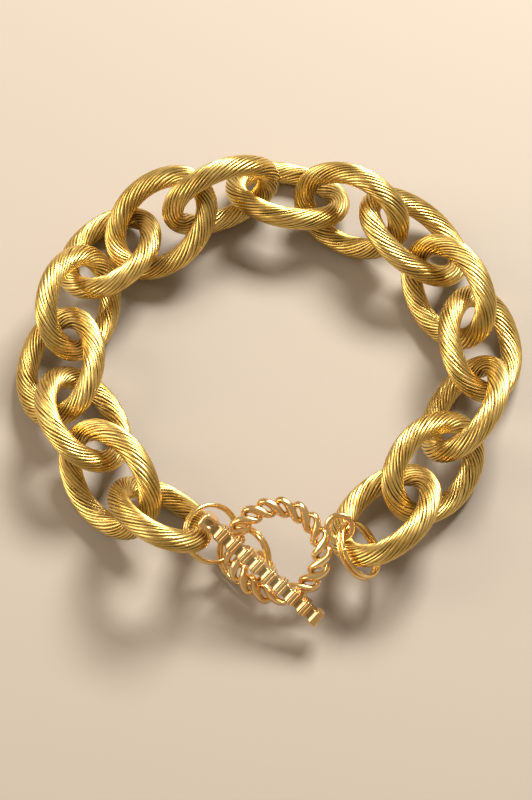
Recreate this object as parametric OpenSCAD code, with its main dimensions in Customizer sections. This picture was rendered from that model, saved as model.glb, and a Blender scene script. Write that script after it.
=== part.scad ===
// Chunky oval-link chain bracelet with a toggle clasp, laid down fastened in a ring.
// Millimetres, +Z up, the surface it lies on is z = 0, the clasp lies on the -Y side.

/* [Chain links] */
// Diameter of the round link wire
wire_d = 2.8; // [2.2:0.1:2.8]
// Bend radius of the wire's centre line at a link's two ends
end_r = 4.2; // [4:0.1:4.4]
// How much larger the bend radius is along a link's two sides
side_extra = 4.5; // [4:0.1:5]

/* [Toggle ring] */
// Radius of the toggle ring's centre line
ring_r = 5.4; // [5.3:0.05:5.5]
// Diameter of each of the two strands that are twisted into the ring
strand_d = 1; // [0.9:0.05:1]
// How far a strand's centre swings in and out from the ring's centre line
twist_r = 0.8; // [0.7:0.02:0.8]
// How far a strand's centre swings up and down
twist_h = 0.32; // [0.28:0.02:0.34]
// Full turns that each strand makes round the ring
twists = 8.5; // [6.5:1:8.5]
// Centre line radius of the small eye soldered to the ring
eye_r = 1.5; // [1.4:0.05:1.5]
// Wire diameter of that eye
eye_wire_d = 0.8; // [0.6:0.05:0.8]

/* [Toggle bar] */
// Length of the bar
bar_len = 18.8; // [18.4:0.1:18.8]
// Thickness of the square bar
bar_w = 2; // [1.8:0.1:2]
// Distance of the first collar's middle from the bar's left end
first_collar = 3.1; // [2.8:0.1:3.2]
// Number of collars along the bar
collars = 8; // [6:1:8]
// Distance from one collar to the next
collar_step = 1.9; // [1.8:0.05:1.95]
// Depth of the waists between the collars
waist = 0.3; // [0.2:0.02:0.36]
// Centre line radius of the loop under the bar's middle
loop_r = 1.6; // [1.5:0.05:1.65]
// Wire diameter of that loop
loop_wire_d = 0.7; // [0.6:0.05:0.7]
// Length of the short stem that the loop hangs on
loop_stem = 0.7; // [0.6:0.05:0.8]

/* [Jump rings] */
// Centre line radius of a jump ring
jump_r = 3.5; // [3.4:0.05:3.5]
// Wire diameter of a jump ring
jump_wire_d = 0.55; // [0.5:0.01:0.56]
// Distance between the two jump rings of a pair, along their axis
pair_gap = 0.64; // [0.62:0.01:0.66]

/* [Hidden] */

gold = "goldenrod";
rose = "peru";

// Radius of the cutter that makes a waist, size of the one that makes a fine line,
// distance between a collar's two lines, and diameter of the loop's stem
waist_r = 0.7;
line_w = 0.1;
line_gap = 0.44;
stem_d = 0.9;
// Where round the ring the two strands lie widest apart
first_gap = -3;
// Number of rods that make up one strand
stations = 56;

// Where each link lies. The turns are those of lay(), in degrees.
// x, y, z of its centre, heading, lean, rise
LINKS = [
  [14.6, -18.0, 5.0, 57, -29, -9],
  [20.6, -11.8, 5.2, 44, 44, -13],
  [24.7, -3.8, 5.4, 72, -46, -12],
  [27.1, 5.7, 4.5, 85, 35, -6],
  [23.2, 12.6, 5.6, 123, -53, -8],
  [19.1, 21.0, 5.1, 146, 24, 19],
  [11.0, 24.3, 6.0, 152, -60, -11],
  [2.8, 28.0, 3.7, 164, 26, 0],
  [-5.8, 26.2, 6.7, 205, -83, 10],
  [-13.6, 22.8, 5.5, 217, -10, -27],
  [-20.2, 19.3, 3.9, 245, 21, 13],
  [-23.8, 11.1, 5.5, 249, -49, 12],
  [-25.9, 2.5, 4.4, 271, 30, 1],
  [-22.8, -4.9, 4.7, 286, -35, 13],
  [-19.2, -13.3, 5.1, 309, 46, 1],
  [-12.9, -18.4, 6.2, 296, -36, 34]
];

// Moves the whole so that its box stands on z = 0, centred on the origin.
recentre = [-0.48, -1.02, 0];

// Lays a piece drawn flat at the origin, pointing along +X: leans it about its length,
// lifts its forward end, turns it to its heading and carries it to its place.
module lay(p) translate(recentre + [p[0], p[1], p[2]])
  rotate([0, 0, p[3]]) rotate([0, -p[5], 0]) rotate([p[4], 0, 0]) children();

// A closed ring of round wire, lying flat.
module wire_ring(r, d) rotate_extrude($fn = 64) translate([r, 0]) circle(d = d, $fn = 24);

// One bend of a link: a ring of wire, kept only inside a wedge that opens from its centre.
module bend(r, wedge) intersection() {
  rotate_extrude($fn = 96) translate([r, 0]) circle(d = wire_d, $fn = 32);
  linear_extrude(height = 2 * wire_d, center = true) polygon(wedge);
}

// An oval link of four bends. The wedges meet along lines of slope 3:4, where the bends run
// into each other smoothly.
module oval_link() for (turn = [0, 180]) rotate([0, 0, turn]) {
  translate([0.6 * side_extra, 0, 0]) bend(end_r, [[0, 0], [12, -16], [20, -16], [20, 16], [12, 16]]);
  translate([0, -0.8 * side_extra, 0]) bend(end_r + side_extra, [[0, 0], [12, 16], [-12, 16]]);
}
module chain_link(i) color(gold) lay(LINKS[i]) oval_link();

// Where the clasp's pieces lie, as the links do.
// x, y, z of its centre, heading, lean, rise
RING_AT = [1.4, -23.0, 5.5, 16, 29, 16];
BAR_AT = [-0.6, -25.7, 6.7, -37, 34, -21];
// Three pairs of jump rings: through the last link, through the bar's loop, through the eye
PAIR_AT = [
  [-6.6, -20.2, 4.3, 0, 18, -27],
  [-2.7, -22.6, 3.1, 0, 30, 39],
  [11.2, -22.8, 5.4, 0, -5, -49]
];

// Centre of a twisted strand, t degrees round the ring.
function strand_at(t, side) = let (w = side - twists * (t - first_gap), r = ring_r + twist_r * cos(w))
  [r * cos(t), r * sin(t), twist_h * sin(w)];

// One strand: short six-sided rods, each run into the next.
module strand(side) for (i = [0 : stations - 1]) hull() for (k = [i, i + 1]) {
  t = k * 360 / stations;
  translate(strand_at(t, side)) rotate([0, 0, t]) rotate([90, 0, 0])
    cylinder(h = 0.02, d = strand_d, center = true, $fn = 6);
}
eye_at = ring_r + twist_r + strand_d / 2 + eye_r - 0.1;
module toggle_ring() color(rose) lay(RING_AT) {
  strand(0);
  strand(180);
  translate([eye_at, 0, 0]) rotate_extrude($fn = 48) translate([eye_r, 0]) circle(d = eye_wire_d, $fn = 12);
}

// Square bar along X: waists on its four faces part it into a knob, collars with two fine
// lines each, and an end plate.
module bar_cuts() for (turn = [0 : 90 : 270]) rotate([turn, 0, 0]) {
  for (i = [0 : collars])
    translate([first_collar - bar_len / 2 + (i - 0.5) * collar_step, 0, bar_w / 2 + waist_r - waist])
      rotate([90, 0, 0]) cylinder(h = 2 * bar_w, r = waist_r, center = true, $fn = 32);
  for (i = [0 : collars - 1], side = [-1, 1])
    translate([first_collar - bar_len / 2 + i * collar_step + side * line_gap / 2, 0, bar_w / 2])
      rotate([0, 45, 0]) cube([line_w, 2 * bar_w, line_w], center = true);
}
module toggle_bar() color(rose) lay(BAR_AT) {
  difference() {
    cube([bar_len, bar_w, bar_w], center = true);
    bar_cuts();
  }
  translate([0, 0, -bar_w / 2 - loop_stem - loop_r]) rotate([90, 0, 0]) wire_ring(loop_r, loop_wire_d);
  translate([0, 0, -bar_w / 2 - loop_stem]) cylinder(h = loop_stem + bar_w / 4, d = stem_d, $fn = 24);
}

// One jump ring of a pair: side is -1 or 1.
module jump_ring(pair, side) color(gold) lay(PAIR_AT[pair])
  translate([0, 0, side * pair_gap / 2]) wire_ring(jump_r, jump_wire_d);

chain_link(0);  // link_01
chain_link(1);  // link_02
chain_link(2);  // link_03
chain_link(3);  // link_04
chain_link(4);  // link_05
chain_link(5);  // link_06
chain_link(6);  // link_07
chain_link(7);  // link_08
chain_link(8);  // link_09
chain_link(9);  // link_10
chain_link(10);  // link_11
chain_link(11);  // link_12
chain_link(12);  // link_13
chain_link(13);  // link_14
chain_link(14);  // link_15
chain_link(15);  // link_16
toggle_ring();
toggle_bar();
jump_ring(0, 1);  // chain_ring_1
jump_ring(0, -1);  // chain_ring_2
jump_ring(1, 1);  // bar_ring_1
jump_ring(1, -1);  // bar_ring_2
jump_ring(2, 1);  // eye_ring_1
jump_ring(2, -1);  // eye_ring_2
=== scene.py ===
# %% [markdown]
# # A chunky chain bracelet with a toggle clasp
# The bracelet lies fastened on a table: sixteen oval links of engraved wire, a toggle ring
# of two twisted strands, a ridged bar across it, and three pairs of thin jump rings.
# The solids come from the frame. Each one is measured here, and a finer skin with the
# engraving, the seams and the softened edges is worked out in its place.

# %% Load the frame
import math

import bpy
import numpy as np
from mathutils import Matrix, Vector


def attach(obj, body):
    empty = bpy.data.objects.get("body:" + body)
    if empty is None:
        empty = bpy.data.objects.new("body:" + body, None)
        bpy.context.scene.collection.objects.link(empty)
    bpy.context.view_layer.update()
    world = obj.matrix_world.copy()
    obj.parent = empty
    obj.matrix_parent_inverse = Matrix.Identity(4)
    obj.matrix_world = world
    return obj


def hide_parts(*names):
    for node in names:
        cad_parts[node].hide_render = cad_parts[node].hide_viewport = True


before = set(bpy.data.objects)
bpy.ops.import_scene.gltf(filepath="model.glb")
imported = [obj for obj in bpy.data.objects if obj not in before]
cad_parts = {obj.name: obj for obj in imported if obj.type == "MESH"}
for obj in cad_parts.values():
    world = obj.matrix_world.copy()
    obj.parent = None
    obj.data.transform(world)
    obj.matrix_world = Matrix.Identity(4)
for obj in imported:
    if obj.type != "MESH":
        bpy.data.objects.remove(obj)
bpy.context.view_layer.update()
MM = 0.001
TURN = 2 * math.pi
UP = np.array([0.0, 0.0, 1.0])
print("solids:", len(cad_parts))

# %% [markdown]
# ## Where each piece lies
# A link in a chain leans and turns its own way, so its place isn't typed in again here. It
# is measured from the solid: the middle of its surface is its centre, and the directions in
# which the surface spreads most, less and least are its length, its width and its axis.
# That is a principal axis analysis, weighted by the area of each face.

# %% Measure a solid


def corners(node):
    """The corner points of a node's mesh and its triangles, as arrays."""
    mesh = bpy.data.objects[node].data
    mesh.calc_loop_triangles()
    points = np.empty(3 * len(mesh.vertices))
    mesh.vertices.foreach_get("co", points)
    faces = np.empty(3 * len(mesh.loop_triangles), int)
    mesh.loop_triangles.foreach_get("vertices", faces)
    return points.reshape(-1, 3), faces.reshape(-1, 3)


def seat(node):
    """Centre and right-handed axes (rows) of a solid, most spread first.

    Each triangle counts with its area, at its three edges' middles, which makes the
    second moments exact for a flat triangle.
    """
    points, faces = corners(node)
    a, b, c = points[faces[:, 0]], points[faces[:, 1]], points[faces[:, 2]]
    area = np.linalg.norm(np.cross(b - a, c - a), axis=1) / 2
    middles = np.concatenate([(a + b) / 2, (b + c) / 2, (c + a) / 2])
    weight = np.tile(area, 3)[:, None] / area.sum() / 3
    centre = (middles * weight).sum(0)
    spread = ((middles - centre) * weight).T @ (middles - centre)
    _, axes = np.linalg.eigh(spread)
    long, wide = axes[:, 2], axes[:, 1]
    return centre, np.array([long, wide, np.cross(long, wide)])


LINKS = [f"link_{i:02d}" for i in range(1, 17)]
for name in LINKS[:2]:
    place, turn = seat(name)
    print(name, "centre in mm", (place / MM).round(2), "axis", turn[2].round(2))

# %% [markdown]
# ## From a grid of points to a mesh
# Every new piece is a sheet of points on two parameters, one along and one around. Both may
# close on themselves, as they do on a ring of wire.

# %% Faces and UV map of a grid


def grid_faces(rows, columns, first=0, closed=True):
    """Four-cornered faces between neighbouring points of a grid that closes round its columns.

    Where closed is true, the last row joins the first one too.
    """
    i = np.arange(rows if closed else rows - 1)[:, None]
    j = np.arange(columns)[None, :]
    k = (j + 1) % columns
    here, there = i * columns, (i + 1) % rows * columns
    return np.stack([here + j, here + k, there + k, there + j], -1).reshape(-1, 4) + first


def fan(centre, ring):
    """Triangles from one point to a closed ring of points."""
    ring = np.asarray(ring)
    return np.stack([np.full(len(ring), centre), ring, np.roll(ring, -1)], -1)


def grid_uv(rows, columns):
    """For each corner of a grid's faces: its share of a turn round, and of the way along."""
    i, j = np.meshgrid(np.arange(rows), np.arange(columns), indexing="ij")
    around = np.stack([j, j + 1, j + 1, j], -1) / columns
    way = np.stack([i, i, i + 1, i + 1], -1) / rows
    return np.stack([around, way], -1).reshape(-1, 2)


print("faces in a closed grid of 3 by 4:", len(grid_faces(3, 4)))

# %% Grid to mesh


def volume(points, faces):
    """Signed volume, the sum over triangles of a . (b x c) / 6: positive if they face out."""
    total = 0.0
    for part in faces:
        for k in range(1, part.shape[1] - 1):
            a, b, c = points[part[:, 0]], points[part[:, k]], points[part[:, k + 1]]
            total += np.einsum("ij,ij->i", a, np.cross(b, c)).sum() / 6
    return total


def build(name, points, faces, uv, values=None):
    """A smooth-shaded mesh object in metres from points in mm, turned outwards.

    faces is a list of arrays. uv holds pairs for the corners of the first arrays, and the
    rest get zero. values holds a number for each point.
    """
    mesh = bpy.data.meshes.new(name)
    mesh.from_pydata((points * MM).tolist(), [], [f.tolist() for part in faces for f in part])
    pairs = np.zeros((len(mesh.loops), 2))
    pairs[: len(uv)] = uv
    mesh.uv_layers.new(name="UVMap").data.foreach_set("uv", pairs.ravel())
    for key, numbers in (values or {}).items():
        mesh.attributes.new(key, "FLOAT", "POINT").data.foreach_set("value", numbers.ravel())
    mesh.shade_smooth()
    mesh.validate()
    if volume(points, faces) < 0:
        mesh.flip_normals()
    piece = bpy.data.objects.new(name, mesh)
    bpy.context.scene.collection.objects.link(piece)
    return piece


CORNER = np.array([[0.0, 0, 0], [1, 0, 0], [0, 1, 0], [0, 0, 1]])
CORNER_FACES = np.array([[0, 2, 1], [0, 1, 3], [0, 3, 2], [1, 2, 3]])
print("a corner cut off a cube of 1 mm holds", round(volume(CORNER, [CORNER_FACES]), 4), "mm3")

# %% [markdown]
# ## The engraved wire of the links
# The links are bent from round wire that was rolled with lines, like a rope of some twenty
# thin yarns. The lines wind slowly round the wire and aren't quite even: some are wider,
# some deeper. They could be a bump pattern, but they catch the light one by one, so they are
# cut into the shape. The columns of the grid follow the lines, six columns to a line, so
# that each yarn is round on top with a sharp groove beside it, and the whole winds along
# the link.

# %% Centre line of a link
WIRE_R = 1.4
END_R = 4.2
SIDE_R = 8.7
END_X = 2.7
SIDE_Y = 3.6
LEAN = math.atan2(4, 3)


def link_line(stations):
    """Points and outward directions along the middle of a link's wire, and distances.

    Two small arcs at the ends and two large ones along the sides. They meet where the
    radius has a slope of 4 in 3, so that they share a tangent there.
    """
    end, side = 2 * LEAN * END_R, (math.pi - 2 * LEAN) * SIDE_R
    whole = 2 * (end + side)
    s = (np.arange(stations) / stations) * whole
    half = s % (whole / 2)
    turned = np.where(s >= whole / 2, -1.0, 1.0)
    at_end = half < end
    angle = np.where(at_end, half / END_R - LEAN, LEAN + (half - end) / SIDE_R)
    radius = np.where(at_end, END_R, SIDE_R)
    x = np.where(at_end, END_X, 0.0) + radius * np.cos(angle)
    y = np.where(at_end, 0.0, -SIDE_Y) + radius * np.sin(angle)
    flat = np.zeros(stations)
    point = np.stack([turned * x, turned * y, flat], 1)
    outward = np.stack([turned * np.cos(angle), turned * np.sin(angle), flat], 1)
    return point, outward, s, whole


STATIONS = 132
print("wire in one link, mm:", round(link_line(STATIONS)[3], 2))

# %% The lines on the wire
LINES = 19
YARN = np.array([1.0, 0.5, 0.12, 0.0, 0.12, 0.5])
WINDING = 2
GROOVE = 0.24
LINE_WIDTHS = (0.78, 1.22)
LINE_DEPTHS = (0.6, 1.0)
MEAN_DEPTH = 0.76
WAVES, WAVE_DEPTH = 3, 0.14
DASHES, DASH_DEPTH = 14, 0.16
COLUMNS = LINES * len(YARN)


def engraving(seed, s, whole):
    """How deep each point lies in a line, from 0 to 1, and each column's share of a turn.

    Each line has its own width and depth. The depth swells and fades along the wire as a
    sum of two cosines: slow waves, and short dashes, one for each stroke of the roll.
    """
    rng = np.random.default_rng(seed)
    line, step = np.divmod(np.arange(COLUMNS), len(YARN))
    width = rng.uniform(*LINE_WIDTHS, LINES)
    edge = np.cumsum(width) - width
    share = (edge[line] + width[line] * step / len(YARN)) / width.sum()
    deep = rng.uniform(*LINE_DEPTHS, LINES)
    start = rng.uniform(0, 1, (2, LINES))[:, line]
    swell = (
        MEAN_DEPTH
        + WAVE_DEPTH * np.cos(TURN * (WAVES * s[:, None] / whole + start[0]))
        + DASH_DEPTH * np.cos(TURN * (DASHES * s[:, None] / whole + start[1]))
    )
    return YARN[step] * deep[line] * swell, share


print("columns round the wire:", COLUMNS)

# %% The engraved skin of a link
FIRST_SEED = 11


def engraved_link(name, seed):
    """One link: r = wire radius - depth of the line, along the wire's own frame.

    A column's angle is its own share of a turn plus a winding that grows along the wire to
    two whole turns, so that the lines meet again.
    """
    point, out, s, whole = link_line(STATIONS)
    groove, share = engraving(seed, s, whole)
    angle = TURN * (share[None, :] + WINDING * s[:, None] / whole)
    radius = WIRE_R - GROOVE * groove
    place, turn = seat(name)
    local = (
        point[:, None, :]
        + (radius * np.cos(angle))[..., None] * out[:, None, :]
        + (radius * np.sin(angle))[..., None] * UP
    )
    points = local.reshape(-1, 3) @ turn + place / MM
    faces, uv = grid_faces(STATIONS, COLUMNS), grid_uv(STATIONS, COLUMNS)
    # The depth of the lines also darkens their colour: oxide and painted shade.
    return build(name + "_engraved", points, [faces], uv, {"groove": groove})


links = [engraved_link(name, FIRST_SEED + i) for i, name in enumerate(LINKS)]
print("triangles in one link:", 2 * STATIONS * COLUMNS)

# %% [markdown]
# ## Tubes and circles
# The clasp and the jump rings are round wire on closed paths. One function carries a circle
# along such a path. Its radius may change from point to point, for wire that isn't round.

# %% Tubes along closed paths


def tube(path, radius, columns, up, first=0):
    """Points and faces of a tube along a closed path.

    At each station a circle is drawn across the path: one direction is up made square to
    the tangent, the other is square to both. radius is a number or one for each point.
    """
    tangent = np.roll(path, -1, 0) - np.roll(path, 1, 0)
    tangent /= np.linalg.norm(tangent, axis=1)[:, None]
    across = np.cross(up, tangent)
    across /= np.linalg.norm(across, axis=1)[:, None]
    rise = np.cross(tangent, across)
    angle = TURN * np.arange(columns) / columns
    radius = np.broadcast_to(radius, (len(path), columns))[..., None]
    around = (
        np.cos(angle)[None, :, None] * across[:, None, :]
        + np.sin(angle)[None, :, None] * rise[:, None, :]
    )
    points = (path[:, None, :] + radius * around).reshape(-1, 3)
    return points, grid_faces(len(path), columns, first)


def circle(radius, stations, x=0.0):
    """Points on a circle in the plane z = 0, its centre at x on the first axis."""
    t = TURN * np.arange(stations) / stations
    return np.stack([x + radius * np.cos(t), radius * np.sin(t), np.zeros(stations)], 1)


print("points on a tube of 8 by 6:", len(tube(circle(3.0, 8), 1.0, 6, UP)[0]))

# %% [markdown]
# ## The toggle ring
# Two strands of thick wire are twisted round each other and soldered into a flat ring with a
# small eye at its side. The strand on top runs at a slant and hides the one below, so that
# slender slits, which lean with it, show between them. A strand is a tube along a wave: it
# swings in and out, and up and down a quarter turn later. There are eight and a half twists,
# so one strand runs on into the other, and both are one path that goes round twice. The wire
# has a soft crest along its top, which a power formula gives: its section is between a
# circle and a diamond. It is slimmer where it crosses and turns back, which keeps the slits
# open. The eye is a plain tube round a circle.

# %% Where the ring lies
RING_R = 5.4
EYE_R = 1.5
EYE_WIRE_R = 0.4
EYE_X = 8.1


def ring_seat():
    """Centre and axes of the toggle ring: the first points at the eye, the third upwards.

    The eye's far edge is the point furthest from the middle, and its distance from the
    ring's own centre is known.
    """
    middle, axes = seat("toggle_ring")
    points = (corners("toggle_ring")[0] - middle) @ axes[0] / MM
    toward = 1.0 if points.max() > -points.min() else -1.0
    upward = 1.0 if axes[2][2] > 0 else -1.0
    axes = axes * [[toward], [toward * upward], [upward]]
    reach = np.abs(points).max()
    return middle / MM + axes[0] * (reach - EYE_X - EYE_R - EYE_WIRE_R), axes


ring_centre, ring_axes = ring_seat()
print("toggle ring centre in mm", ring_centre.round(2))

# %% The strands
SWING = 0.87
LIFT = 0.32
TWISTS = 8.5
FIRST_GAP = math.radians(-3)
SKEW = 0.45
STRAND_R = 0.5
STRAND_WIDE = 0.57
CREST = 1.4
FRONT_NECK = 0.1
BACK_NECK = 0.34
TURN_NECK = 0.24
STRAND_COLUMNS = 24


def strand_path(t, w):
    """Middle of a strand at the angle t round the ring, where its own twist is at w.

    r = ring + swing * cos(w), z = lift * sin(w), and a skew times cos(w) moves it along the
    ring, so that it runs slantwise above and straight across below.
    """
    r = RING_R + SWING * np.cos(w)
    t = t + SKEW * np.cos(w) / TWISTS
    return np.stack([r * np.cos(t), r * np.sin(t), LIFT * np.sin(w)], 1)


def strand_section(w):
    """Radius of a strand round its section: |a|^n + |b|^n = 1, n between diamond and circle.

    It is slimmer, by a share each, where it crosses the other strand and, seen from above,
    where it turns at the ring's edges.
    """
    angle = TURN * np.arange(STRAND_COLUMNS) / STRAND_COLUMNS
    above = (1 + np.sin(w)) / 2
    below = BACK_NECK * (1 - above) * np.sin(w) ** 2
    high = STRAND_R * (1 - FRONT_NECK * above * np.sin(w) ** 2 - below)
    wide = STRAND_WIDE * (1 - TURN_NECK * np.cos(w) ** 2 - below)
    return 1 / (
        (np.abs(np.cos(angle)) / wide[:, None]) ** CREST
        + (np.abs(np.sin(angle)) / high[:, None]) ** CREST
    ) ** (1 / CREST)


ends = strand_section(np.radians([0.0, 90.0, 270.0]))[:, 0]
print("strand's half width at a turn, above and below:", ends.round(2))

# %% The ring and its eye
STRAND_STATIONS = 960
EYE_STATIONS = 72
SEAM_REACH = 0.9


def toggle_ring():
    """Both strands, twice round, and the eye.

    The twist w falls by a turn for each twist, which makes it a right-handed one. The value
    groove is painted shade: 1 on a strand's surface where it touches the other strand, and it
    fades away.
    """
    t = 2 * TURN * np.arange(STRAND_STATIONS) / STRAND_STATIONS
    w = -TWISTS * (t - FIRST_GAP)
    strands, quads = tube(strand_path(t, w), strand_section(w), STRAND_COLUMNS, UP)
    other = strand_path(t, w + math.pi)
    rows = strands.reshape(-1, STRAND_COLUMNS, 3)
    near = np.linalg.norm(rows - other[:, None, :], axis=2).ravel()
    # Painted shade where the strands meet, fading with distance from the other strand.
    seam_shade = np.clip((SEAM_REACH - near) / (SEAM_REACH - STRAND_R), 0, 1)
    path = circle(EYE_R, EYE_STATIONS, EYE_X)
    eye, eye_quads = tube(path, EYE_WIRE_R, STRAND_COLUMNS, UP, len(strands))
    uv = np.concatenate([grid_uv(n, STRAND_COLUMNS) for n in (STRAND_STATIONS, EYE_STATIONS)])
    points = np.concatenate([strands, eye]) @ ring_axes + ring_centre
    seam_shade = np.concatenate([seam_shade, np.zeros(len(eye))])
    return build("toggle_ring_rope", points, [quads, eye_quads], uv, {"groove": seam_shade})


ring = toggle_ring()
print("toggle ring triangles:", 2 * len(ring.data.polygons))

# %% [markdown]
# ## The toggle bar
# The bar is square, with eight collars between waists that go all round it, a rounded knob at
# one end and a thin plate at the other. Two fine lines run round each collar, a shallow
# hollow is pressed into the knob, and all edges are worn soft. It is a profile carried along
# its length: a square whose corners are rounded, with a half width that follows the waists.
# A power formula gives such a square without any corners to model by hand. The same
# functions say where the colour is darkened, partly for toning and partly as painted shade:
# most in the fine lines, less in the waists.

# %% Where the bar lies
BAR_LONG = 18.8
BAR_HALF = 1.0
KNOB_PART = 1.0
PLATE_PART = 0.3


def bar_seat():
    """Centre and axes of the bar: the first points to the plate, the third away from the loop.

    The loop's side reaches furthest from the bar's own middle line.
    """
    middle, axes = seat("toggle_bar")
    axes = axes * np.sign(axes[0][0]) * [[1.0], [1.0], [np.sign(axes[0][0])]]
    points = (corners("toggle_bar")[0] - middle) @ axes.T / MM
    low, high = points[:, 0].min(), points[:, 0].max()
    caps = [points[points[:, 0] < low + KNOB_PART], points[points[:, 0] > high - PLATE_PART]]
    left, right = [(cap.max(0) + cap.min(0)) / 2 for cap in caps]
    left[0], right[0] = low, high
    forward = (right - left) / np.linalg.norm(right - left)
    centre = (left + right) / 2
    far = points[np.argmax(np.linalg.norm((points - centre)[:, 1:], axis=1))] - centre
    k = 1 if abs(far[1]) > abs(far[2]) else 2
    upward = np.zeros(3)
    upward[k] = -np.sign(far[k])
    upward -= forward * (upward @ forward)
    upward /= np.linalg.norm(upward)
    turn = np.array([forward, np.cross(upward, forward), upward]) @ axes
    return middle / MM + centre @ axes, turn


bar_centre, bar_axes = bar_seat()
print("bar centre in mm", bar_centre.round(2), "points along", bar_axes[0].round(2))

# %% The bar's profile
COLLARS = 8
FIRST_COLLAR = 3.1
COLLAR_STEP = 1.9
WAIST = 0.3
WAIST_R = 0.7
WAIST_TONE_AND_SHADE = 0.4
LINE_GAP = 0.44
LINE_HALF = 0.08
KNOB_SOFT = 0.4
PLATE_SOFT = 0.12


def bar_half(x):
    """Half width along the bar: a full square, less the waists, the fine lines and soft ends.

    The second result says how dark the colour is there, toning and painted shade: most in
    the fine lines, less in the waists.
    """
    half = np.full_like(x, BAR_HALF)
    tone_and_shade = np.zeros_like(x)
    for i in range(COLLARS + 1):
        middle = FIRST_COLLAR - BAR_LONG / 2 + (i - 0.5) * COLLAR_STEP
        reach = np.clip(WAIST_R**2 - (x - middle) ** 2, 0, None)
        cut = np.clip(np.sqrt(reach) - WAIST_R + WAIST, 0, None)
        half = np.minimum(half, BAR_HALF - cut)
        # Darker in the waists and fine lines: toning and painted shade.
        tone_and_shade = np.maximum(tone_and_shade, WAIST_TONE_AND_SHADE * cut / WAIST)
        for side in (-1, 1) if i < COLLARS else ():
            near = np.abs(x - middle - COLLAR_STEP / 2 - side * LINE_GAP / 2)
            cut = np.clip(LINE_HALF - near, 0, None)
            half = np.minimum(half, BAR_HALF - cut)
            tone_and_shade = np.maximum(tone_and_shade, cut / LINE_HALF)
    soft = np.where(x < 0, KNOB_SOFT, PLATE_SOFT)
    end = np.clip(np.abs(x) - BAR_LONG / 2 + soft, 0, soft)
    return half - soft + np.sqrt(soft**2 - end**2), tone_and_shade


def squared(angle, half, power):
    """Points where |y|^n + |z|^n = half^n, a circle at n = 2 and nearly a square at n = 9."""
    c, s = np.cos(angle), np.sin(angle)
    radius = half / (np.abs(c) ** power + np.abs(s) ** power) ** (1 / power)
    return radius * c, radius * s


first_waist = np.array([FIRST_COLLAR - COLLAR_STEP / 2 - BAR_LONG / 2])
print("half width in the first waist, mm:", bar_half(first_waist)[0].round(2))

# %% The bar's body
SQUARENESS = 9.0
BAR_COLUMNS = 96
BAR_ROWS = 480
END_STEPS = 8
KNOB_RINGS = ((0.12, 2.0), (0.4, 6.0))
PLATE_RINGS = ((0.6, 6.0), (0.2, 2.0))
HOLLOW_X = 1.05 - BAR_LONG / 2
HOLLOW_Y = 0.15
HOLLOW_LONG = 0.72
HOLLOW_WIDE = 0.42
HOLLOW_DEEP = 0.34
HOLLOW_TONE_AND_SHADE = 0.4


def bar_rings():
    """Rows of points round the bar and their darkening, toning and painted shade: along its
    sides, and in to each end.

    Each row is a rounded square. KNOB_RINGS and PLATE_RINGS give the half width and the
    power n of the rows that lie in the bar's two end faces.
    """
    knob, plate = np.array(KNOB_RINGS), np.array(PLATE_RINGS)
    end = BAR_LONG / 2
    turn = np.linspace(0, math.pi / 2, END_STEPS)
    x = np.concatenate([
        -end + KNOB_SOFT * (1 - np.cos(turn[:-1])),
        np.linspace(-end + KNOB_SOFT, end - PLATE_SOFT, BAR_ROWS),
        end - PLATE_SOFT * (1 - np.sin(turn[1:])),
    ])
    half, tone_and_shade = bar_half(x)
    power = np.concatenate([knob[:, 1], np.full(len(x), SQUARENESS), plate[:, 1]])
    half = np.concatenate([knob[:, 0], half, plate[:, 0]])
    x = np.concatenate([np.full(len(knob), -end), x, np.full(len(plate), end)])
    angle = TURN * (np.arange(BAR_COLUMNS) + 0.5) / BAR_COLUMNS
    y, z = squared(angle, half[:, None], power[:, None])
    rows = np.stack([np.broadcast_to(x[:, None], y.shape), y, z], -1)
    return rows, np.repeat(np.pad(tone_and_shade, (len(knob), len(plate))), BAR_COLUMNS)


def bar_body():
    """Points, faces and darkening (toning and painted shade) of the bar's body, closed by a
    point at each end.

    The hollow in the knob's upper face is exp(-r^4) deep, where r is the distance from its
    middle, measured in its own length and width.
    """
    rows, tone_and_shade = bar_rings()
    end = BAR_LONG / 2
    points = np.concatenate([rows.reshape(-1, 3), [[-end, 0, 0]], [[end, 0, 0]]])
    along = (points[:, 0] - HOLLOW_X) / HOLLOW_LONG
    across = (points[:, 1] - HOLLOW_Y) / HOLLOW_WIDE
    hollow = np.exp(-((along**2 + across**2) ** 2)) * (points[:, 2] > BAR_HALF / 2)
    points[:, 2] -= HOLLOW_DEEP * hollow
    count = len(tone_and_shade)
    faces = [
        grid_faces(len(rows), BAR_COLUMNS, closed=False),
        fan(count, np.arange(BAR_COLUMNS)[::-1]),
        fan(count + 1, np.arange(count - BAR_COLUMNS, count)),
    ]
    # The knob's hollow is darkened too, partly toning and partly painted shade.
    return points, faces, np.concatenate([tone_and_shade, [0, 0]]) + HOLLOW_TONE_AND_SHADE * hollow


print("rows of points along the bar:", len(bar_rings()[0]))

# %% [markdown]
# The loop hangs below the bar's middle on a short stem, and the jump rings go through it.
# It is a tube round an upright circle. The stem is a plain round post, closed at both ends,
# which runs a little way into the loop and into the bar, as solder does.

# %% The loop, and the whole bar
LOOP_R = 1.6
LOOP_WIRE_R = 0.35
LOOP_STATIONS = 72
LOOP_COLUMNS = 16
STEM = 0.7
STEM_R = 0.45
STEM_SIDES = 24
STEM_Z = (-BAR_HALF - STEM - 0.1, -BAR_HALF - STEM / 2, -BAR_HALF + 0.3)
LOOP_Z = -BAR_HALF - LOOP_R - STEM
ACROSS = np.array([0.0, 1.0, 0.0])


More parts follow.
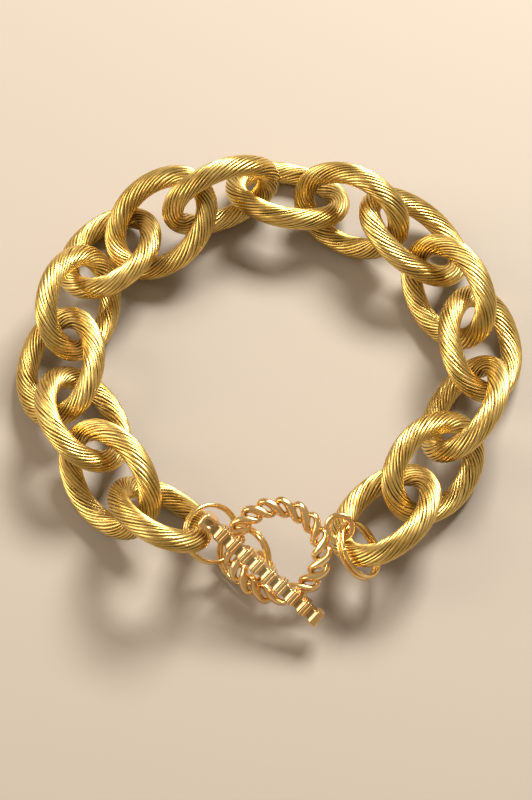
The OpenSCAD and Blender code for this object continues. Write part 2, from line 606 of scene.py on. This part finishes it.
def bar_loop(first):
    """Points and faces of the loop and its stem, their numbers starting at first."""
    path = circle(LOOP_R, LOOP_STATIONS)[:, [0, 2, 1]] + [0, 0, LOOP_Z]
    loop, quads = tube(path, LOOP_WIRE_R, LOOP_COLUMNS, ACROSS, first)
    stem = np.concatenate([circle(STEM_R, STEM_SIDES) + [0, 0, z] for z in STEM_Z])
    points = np.concatenate([loop, stem, [[0, 0, STEM_Z[0]], [0, 0, STEM_Z[-1]]]])
    foot = first + len(loop)
    top = foot + STEM_SIDES * (len(STEM_Z) - 1)
    ends = foot + len(stem)
    ring = np.arange(STEM_SIDES)
    post = grid_faces(len(STEM_Z), STEM_SIDES, foot, closed=False)
    return points, [quads, post, fan(ends, foot + ring[::-1]), fan(ends + 1, top + ring)]


def toggle_bar():
    """The body with its loop, as one piece. Only the body's sides have a UV map."""
    body, faces, tone_and_shade = bar_body()
    loop, loop_faces = bar_loop(len(body))
    points = np.concatenate([body, loop]) @ bar_axes + bar_centre
    uv = grid_uv(len(faces[0]) // BAR_COLUMNS, BAR_COLUMNS)
    tone_and_shade = np.concatenate([tone_and_shade, np.zeros(len(loop))])
    # The groove attribute carries the darkening: toning and painted shade.
    return build("toggle_bar_ridged", points, faces + loop_faces, uv, {"groove": tone_and_shade})


bar = toggle_bar()
print("bar's four-cornered and three-cornered faces:", len(bar.data.polygons))

# %% [markdown]
# ## The jump rings
# Six thin rings of plain polished wire, in pairs, join the chain to the clasp. Each was cut
# from a coil and closed, so a hairline is left where its ends meet. A ring is a tube round a
# circle, with stations close together whose radius dips a little for that hairline.

# %% Jump rings
JUMP_R = 3.5
JUMP_WIRE_R = 0.275
JUMP_STATIONS = 110
JUMP_COLUMNS = 16
HAIRLINE = 0.035
HAIRLINE_DEGREES = (-1.2, -0.6, 0.0, 0.6, 1.2)
HAIRLINE_CLEAR = 0.05
FIRST_CUT, NEXT_CUT = 40, 75
JUMPS = [f"{pair}_ring_{i}" for pair in ("chain", "bar", "eye") for i in (1, 2)]


def jump_ring(name, cut_at):
    """A tube round a circle, its radius less by a hair at the angle cut_at, in degrees."""
    place, turn = seat(name)
    fine = np.radians(HAIRLINE_DEGREES)
    rest = np.linspace(HAIRLINE_CLEAR, TURN - HAIRLINE_CLEAR, JUMP_STATIONS)
    t = np.concatenate([fine, rest]) + math.radians(cut_at)
    path = np.stack([JUMP_R * np.cos(t), JUMP_R * np.sin(t), np.zeros(len(t))], 1)
    radius = np.full((len(t), JUMP_COLUMNS), JUMP_WIRE_R)
    radius[len(fine) // 2] -= HAIRLINE
    points, faces = tube(path, radius, JUMP_COLUMNS, UP)
    uv = grid_uv(len(t), JUMP_COLUMNS)
    return build(name + "_wire", points @ turn + place / MM, [faces], uv)


jumps = [jump_ring(name, FIRST_CUT + NEXT_CUT * i) for i, name in enumerate(JUMPS)]
print("jump rings:", len(jumps))

# %% [markdown]
# ## Finishes
# All of it is plated brass. The links are aged gold: dark and brownish down in the lines, from
# oxide and from painted shade, worn bright on the ridges between them, with faint patches
# where the plating has toned. The clasp is polished rose gold with painted shade where its
# strands meet, and toning and painted shade in its waists, its fine lines and the hollow of
# its knob.
# The jump rings are plain bright gold. What they share is the fine wear of a thing that is
# handled: hairline scratches along the metal and a slightly uneven polish. Those are two node
# groups, built once and used with each metal's own values.

# %% Helpers for nodes


def socket(group, name, kind, way, value=None):
    """A named socket on a node group, with its value if it has one."""
    made = group.interface.new_socket(name, in_out=way, socket_type="NodeSocket" + kind)
    if value is not None:
        made.default_value = value


def new_group(name, inputs, outputs):
    """A node group with its sockets, and inside it what goes in and what comes out."""
    group = bpy.data.node_groups.new(name, "ShaderNodeTree")
    for title, kind, value in inputs:
        socket(group, title, kind, "INPUT", value)
    for title, kind in outputs:
        socket(group, title, kind, "OUTPUT")
    start, end = group.nodes.new("NodeGroupInput"), group.nodes.new("NodeGroupOutput")
    return group, start.outputs, end.inputs


def feed(tree, target, value):
    """Gives an input its value: a link from another node's output, or a constant."""
    if hasattr(value, "is_output"):
        tree.links.new(value, target)
    else:
        target.default_value = value


def node(tree, kind, **values):
    """A shader node; plain names set its properties, in_ names feed its inputs."""
    made = tree.nodes.new("ShaderNode" + kind)
    for key, value in values.items():
        if key.startswith("in_"):
            feed(tree, made.inputs[key[3:].replace("_", " ")], value)
        else:
            setattr(made, key, value)
    return made


def reckon(tree, kind, operation, *values):
    """A node that does sums on its inputs in their order; gives its result."""
    made = node(tree, kind, operation=operation)
    for target, value in zip(made.inputs, values):
        feed(tree, target, value)
    return made.outputs[0]


def mix_colour(tree, factor, low, high):
    """Colour between two, by a factor; each is a socket or an RGBA value."""
    mix = node(tree, "Mix", data_type="RGBA")
    for index, value in ((0, factor), (6, low), (7, high)):
        feed(tree, mix.inputs[index], value)
    return mix.outputs[2]


def ramp(tree, value, low, high, to_low=0.0, to_high=1.0):
    """A number stretched from one range to another, and held inside it."""
    made = node(tree, "MapRange", clamp=True)
    for target, number in zip(made.inputs, (value, low, high, to_low, to_high)):
        feed(tree, target, number)
    return made.outputs[0]


print("node groups before:", len(bpy.data.node_groups))

# %% [markdown]
# Fine wear. Scratches run mostly along the wire, so their noise is drawn on the piece's own
# UV map, squeezed along the way and fine around it. The uneven polish is a soft noise in the
# object's own millimetres.

# %% The group for fine wear
POLISH_SCALE = 420.0
POLISH_LOW, POLISH_HIGH = 0.7, 1.3
STREAK_GRAIN = 0.65


def wear_group():
    """Outputs a scratch height and a roughness that varies between two values."""
    inputs = [("Smooth", "Float", 0.15), ("Dull", "Float", 0.3),
              ("Around", "Float", 40.0), ("Along", "Float", 30.0)]
    group, given, result = new_group(
        "fine wear", inputs, [("Roughness", "Float"), ("Height", "Float")]
    )
    place = node(group, "TexCoord")
    scale = node(group, "CombineXYZ", in_X=given["Around"], in_Y=given["Along"])
    stretched = reckon(group, "VectorMath", "MULTIPLY", place.outputs["UV"], scale.outputs[0])
    streak = node(group, "TexNoise", in_Vector=stretched, in_Scale=1.0, in_Detail=4.0,
                  in_Roughness=STREAK_GRAIN)
    patch = node(group, "TexNoise", in_Vector=place.outputs["Object"],
                 in_Scale=POLISH_SCALE, in_Detail=3.0)
    both = reckon(group, "Math", "ADD", streak.outputs[0], patch.outputs[0])
    rough = ramp(group, both, POLISH_LOW, POLISH_HIGH, given["Smooth"], given["Dull"])
    feed(group, result["Roughness"], rough)
    feed(group, result["Height"], streak.outputs[0])
    return group


WEAR = wear_group()
print("group:", WEAR.name, [s.name for s in WEAR.interface.items_tree])

# %% [markdown]
# Toning and painted shade. Old plating isn't one colour: it drifts from yellow to brownish in
# soft patches. The mesh carries how deep each point lies in a line or a recess, and the
# darkening follows that number with a little noise in its edge: partly dirt and oxide that
# stay where a cloth can't reach, partly painted shade in the hollows.

# %% The group for toning and painted shade
PATCH_LOW, PATCH_HIGH = 0.38, 0.62
PATCH_GRAIN = 0.6
GRIT_SCALE = 2600.0
GRIT = 0.3
DARK_LOW, DARK_HIGH = 0.25, 0.8


def toning_and_shade_group():
    """Outputs the metal's colour and a mask of the dark hollows, oxide and painted shade, from
    a depth of 0 to 1.
    """
    inputs = [
        ("Depth", "Float", 0.0),
        ("Bright", "Color", (0.8, 0.6, 0.2, 1)),
        ("Toned", "Color", (0.6, 0.4, 0.1, 1)),
        ("Hollow", "Color", (0.05, 0.03, 0.01, 1)),
        ("Patch", "Float", 180.0),
    ]
    group, given, result = new_group("toning_and_shade", inputs, [("Color", "Color"), ("Mask", "Float")])
    place = node(group, "TexCoord").outputs["Object"]
    soft = node(group, "TexNoise", in_Vector=place, in_Scale=given["Patch"], in_Detail=3.0,
                in_Roughness=PATCH_GRAIN)
    fine = node(group, "TexNoise", in_Vector=place, in_Scale=GRIT_SCALE, in_Detail=2.0)
    patches = ramp(group, soft.outputs[0], PATCH_LOW, PATCH_HIGH)
    metal = mix_colour(group, patches, given["Bright"], given["Toned"])
    grit = reckon(group, "Math", "MULTIPLY_ADD", fine.outputs[0], GRIT, given["Depth"])
    # The mask darkens the colour in the hollows: partly oxide, partly painted shade.
    mask = ramp(group, grit, DARK_LOW, DARK_HIGH)
    feed(group, result["Color"], mix_colour(group, mask, metal, given["Hollow"]))
    feed(group, result["Mask"], mask)
    return group


TONING_AND_SHADE = toning_and_shade_group()
print("group:", TONING_AND_SHADE.name, [s.name for s in TONING_AND_SHADE.interface.items_tree])

# %% [markdown]
# Each metal is one Principled shader. The toning and shade group gives its colour, with
# painted shade in the hollows, and the wear group its roughness and a bump of a twentieth of a
# millimetre. Oxide is dull, so the mask of the dark hollows is added to the roughness.

# %% The three metals
OXIDE_ROUGH = 0.25
SCRATCH_STRENGTH = 0.12
SCRATCH_DEEP = 0.00005


def metal(name, bright, toned, hollow, smooth, dull, around, along, depth=None):
    """A Principled metal with toning and painted shade for its colour and fine wear for
    roughness and bump.

    depth names the mesh's own number that says where the colour is darkened, for oxide and
    painted shade.
    """
    made = bpy.data.materials.new(name)
    made.use_nodes = True
    tree = made.node_tree
    shader = tree.nodes["Principled BSDF"]
    toning_and_shade = node(tree, "Group", node_tree=TONING_AND_SHADE, in_Bright=bright, in_Toned=toned,
                  in_Hollow=hollow)
    wear = node(tree, "Group", node_tree=WEAR, in_Smooth=smooth, in_Dull=dull,
                in_Around=around, in_Along=along)
    if depth:
        source = node(tree, "Attribute", attribute_name=depth)
        feed(tree, toning_and_shade.inputs["Depth"], source.outputs["Fac"])
    rough = reckon(tree, "Math", "MULTIPLY_ADD", toning_and_shade.outputs["Mask"], OXIDE_ROUGH,
                   wear.outputs["Roughness"])
    bump = node(tree, "Bump", in_Strength=SCRATCH_STRENGTH, in_Distance=SCRATCH_DEEP,
                in_Height=wear.outputs["Height"])
    feed(tree, shader.inputs["Base Color"], toning_and_shade.outputs["Color"])
    feed(tree, shader.inputs["Roughness"], rough)
    feed(tree, shader.inputs["Normal"], bump.outputs[0])
    shader.inputs["Metallic"].default_value = 1.0
    return made


# The links' lines are darkened partly for oxide and partly as painted shade.
AGED = metal(
    "aged gold", bright=(0.94, 0.69, 0.24, 1), toned=(0.73, 0.50, 0.14, 1),
    hollow=(0.030, 0.015, 0.005, 1), smooth=0.22, dull=0.36, around=130.0, along=60.0,
    depth="groove",
)
ROSE = metal(
    "rose gold", bright=(1.00, 0.76, 0.38, 1), toned=(0.93, 0.60, 0.25, 1),
    hollow=(0.05, 0.02, 0.007, 1), smooth=0.14, dull=0.26, around=30.0, along=120.0,
    depth="groove",
)
PLAIN = metal(
    "bright gold", bright=(0.95, 0.70, 0.30, 1), toned=(0.84, 0.54, 0.18, 1),
    hollow=(0.1, 0.05, 0.02, 1), smooth=0.12, dull=0.22, around=12.0, along=160.0,
)
print("metals:", [m.name for m in (AGED, ROSE, PLAIN)])

# %% [markdown]
# ## Putting the pieces on the frame
# Each skin takes its metal, hides the solid that it stands for, and rides with the body that
# all of the bracelet's solids belong to.

# %% Dress and mount
for piece, name, finish, slot in (
    [(p, n, AGED, "aged_gold") for p, n in zip(links, LINKS)]
    + [(ring, "toggle_ring", ROSE, "rose_gold"), (bar, "toggle_bar", ROSE, "rose_gold")]
    + [(p, n, PLAIN, "bright_gold") for p, n in zip(jumps, JUMPS)]
):
    piece.data.materials.append(finish)
    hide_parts(name)
    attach(piece, "root")
print("pieces:", len(links) + 2 + len(jumps))

# %% [markdown]
# ## Table and lights
# A plain pale table, a broad soft light from behind on the right, which gives each link its
# bright upper edge, and a weaker, warmer one from the left. Polished metal shows what
# surrounds it, so a warm and fairly dim room fills in the rest and tints the metal's sides.

# %% Table
TABLE_HALF = 1500.0
TABLE_COLOUR = (0.37, 0.33, 0.29, 1)
TABLE_ROUGH = 0.75


def table_top():
    """A flat square, one face, wide enough to fill the view."""
    h = TABLE_HALF * MM
    mesh = bpy.data.meshes.new("table")
    mesh.from_pydata([(-h, -h, 0), (h, -h, 0), (h, h, 0), (-h, h, 0)], [], [(0, 1, 2, 3)])
    top = bpy.data.objects.new("table", mesh)
    bpy.context.scene.collection.objects.link(top)
    cover = bpy.data.materials.new("pale table")
    cover.use_nodes = True
    shader = cover.node_tree.nodes["Principled BSDF"]
    shader.inputs["Base Color"].default_value = TABLE_COLOUR
    shader.inputs["Roughness"].default_value = TABLE_ROUGH
    mesh.materials.append(cover)
    return top


print("stage:", table_top().name)

# %% Lights
ROOM_COLOUR = (0.78, 0.64, 0.48, 1)
ROOM_STRENGTH = 0.48


def soft_light(name, place, size, watts, colour):
    """An area light at a place in mm, facing the bracelet."""
    data = bpy.data.lights.new(name, "AREA")
    data.shape = "RECTANGLE"
    data.size, data.size_y = size[0] * MM, size[1] * MM
    data.energy, data.color = watts, colour
    lamp = bpy.data.objects.new(name, data)
    bpy.context.scene.collection.objects.link(lamp)
    lamp.location = Vector(place) * MM
    lamp.rotation_mode = "QUATERNION"
    lamp.rotation_quaternion = (-lamp.location).to_track_quat("-Z", "Y")


soft_light(
    "back light", place=(150, 300, 340), size=(220, 150), watts=4.6, colour=(1.0, 0.95, 0.86)
)
soft_light(
    "left light", place=(-380, 40, 240), size=(220, 320), watts=1.3, colour=(1.0, 0.84, 0.66)
)
world = bpy.data.worlds.new("studio")
world.use_nodes = True
room = world.node_tree.nodes["Background"].inputs
room["Color"].default_value = ROOM_COLOUR
room["Strength"].default_value = ROOM_STRENGTH
bpy.context.scene.world = world
bpy.context.scene.view_settings.view_transform = "Standard"
print("lights:", [lamp.name for lamp in bpy.data.lights])

# %% [markdown]
# ## The camera
# It looks down at the table at 64 degrees from the clasp's side, from 300 mm away. A lens can
# be chosen by eye, but here it is worked out: the focal length in pixels, over the height of
# the frame in pixels, is the focal length in sensor heights.

# %% Camera
ELEVATION = math.radians(64)
DISTANCE = 300.0
FOCAL_PX = 2360.0
FRAME_HIGH_PX = 800.0
SENSOR = 36.0
AIM = Vector((-0.48, -1.02, 0.0)) * MM

lens = bpy.data.cameras.new("camera")
lens.sensor_fit = "VERTICAL"
lens.sensor_height = lens.sensor_width = SENSOR
lens.lens = FOCAL_PX / FRAME_HIGH_PX * SENSOR
lens.clip_start, lens.clip_end = 0.01, 10.0
camera = bpy.data.objects.new("camera", lens)
bpy.context.scene.collection.objects.link(camera)
back = Vector((0, -math.cos(ELEVATION), math.sin(ELEVATION)))
camera.location = AIM + back * DISTANCE * MM
camera.rotation_mode = "QUATERNION"
camera.rotation_quaternion = (-back).to_track_quat("-Z", "Y")
bpy.context.scene.camera = camera
print("camera at", [round(v / MM) for v in camera.location], "lens", round(lens.lens, 1))
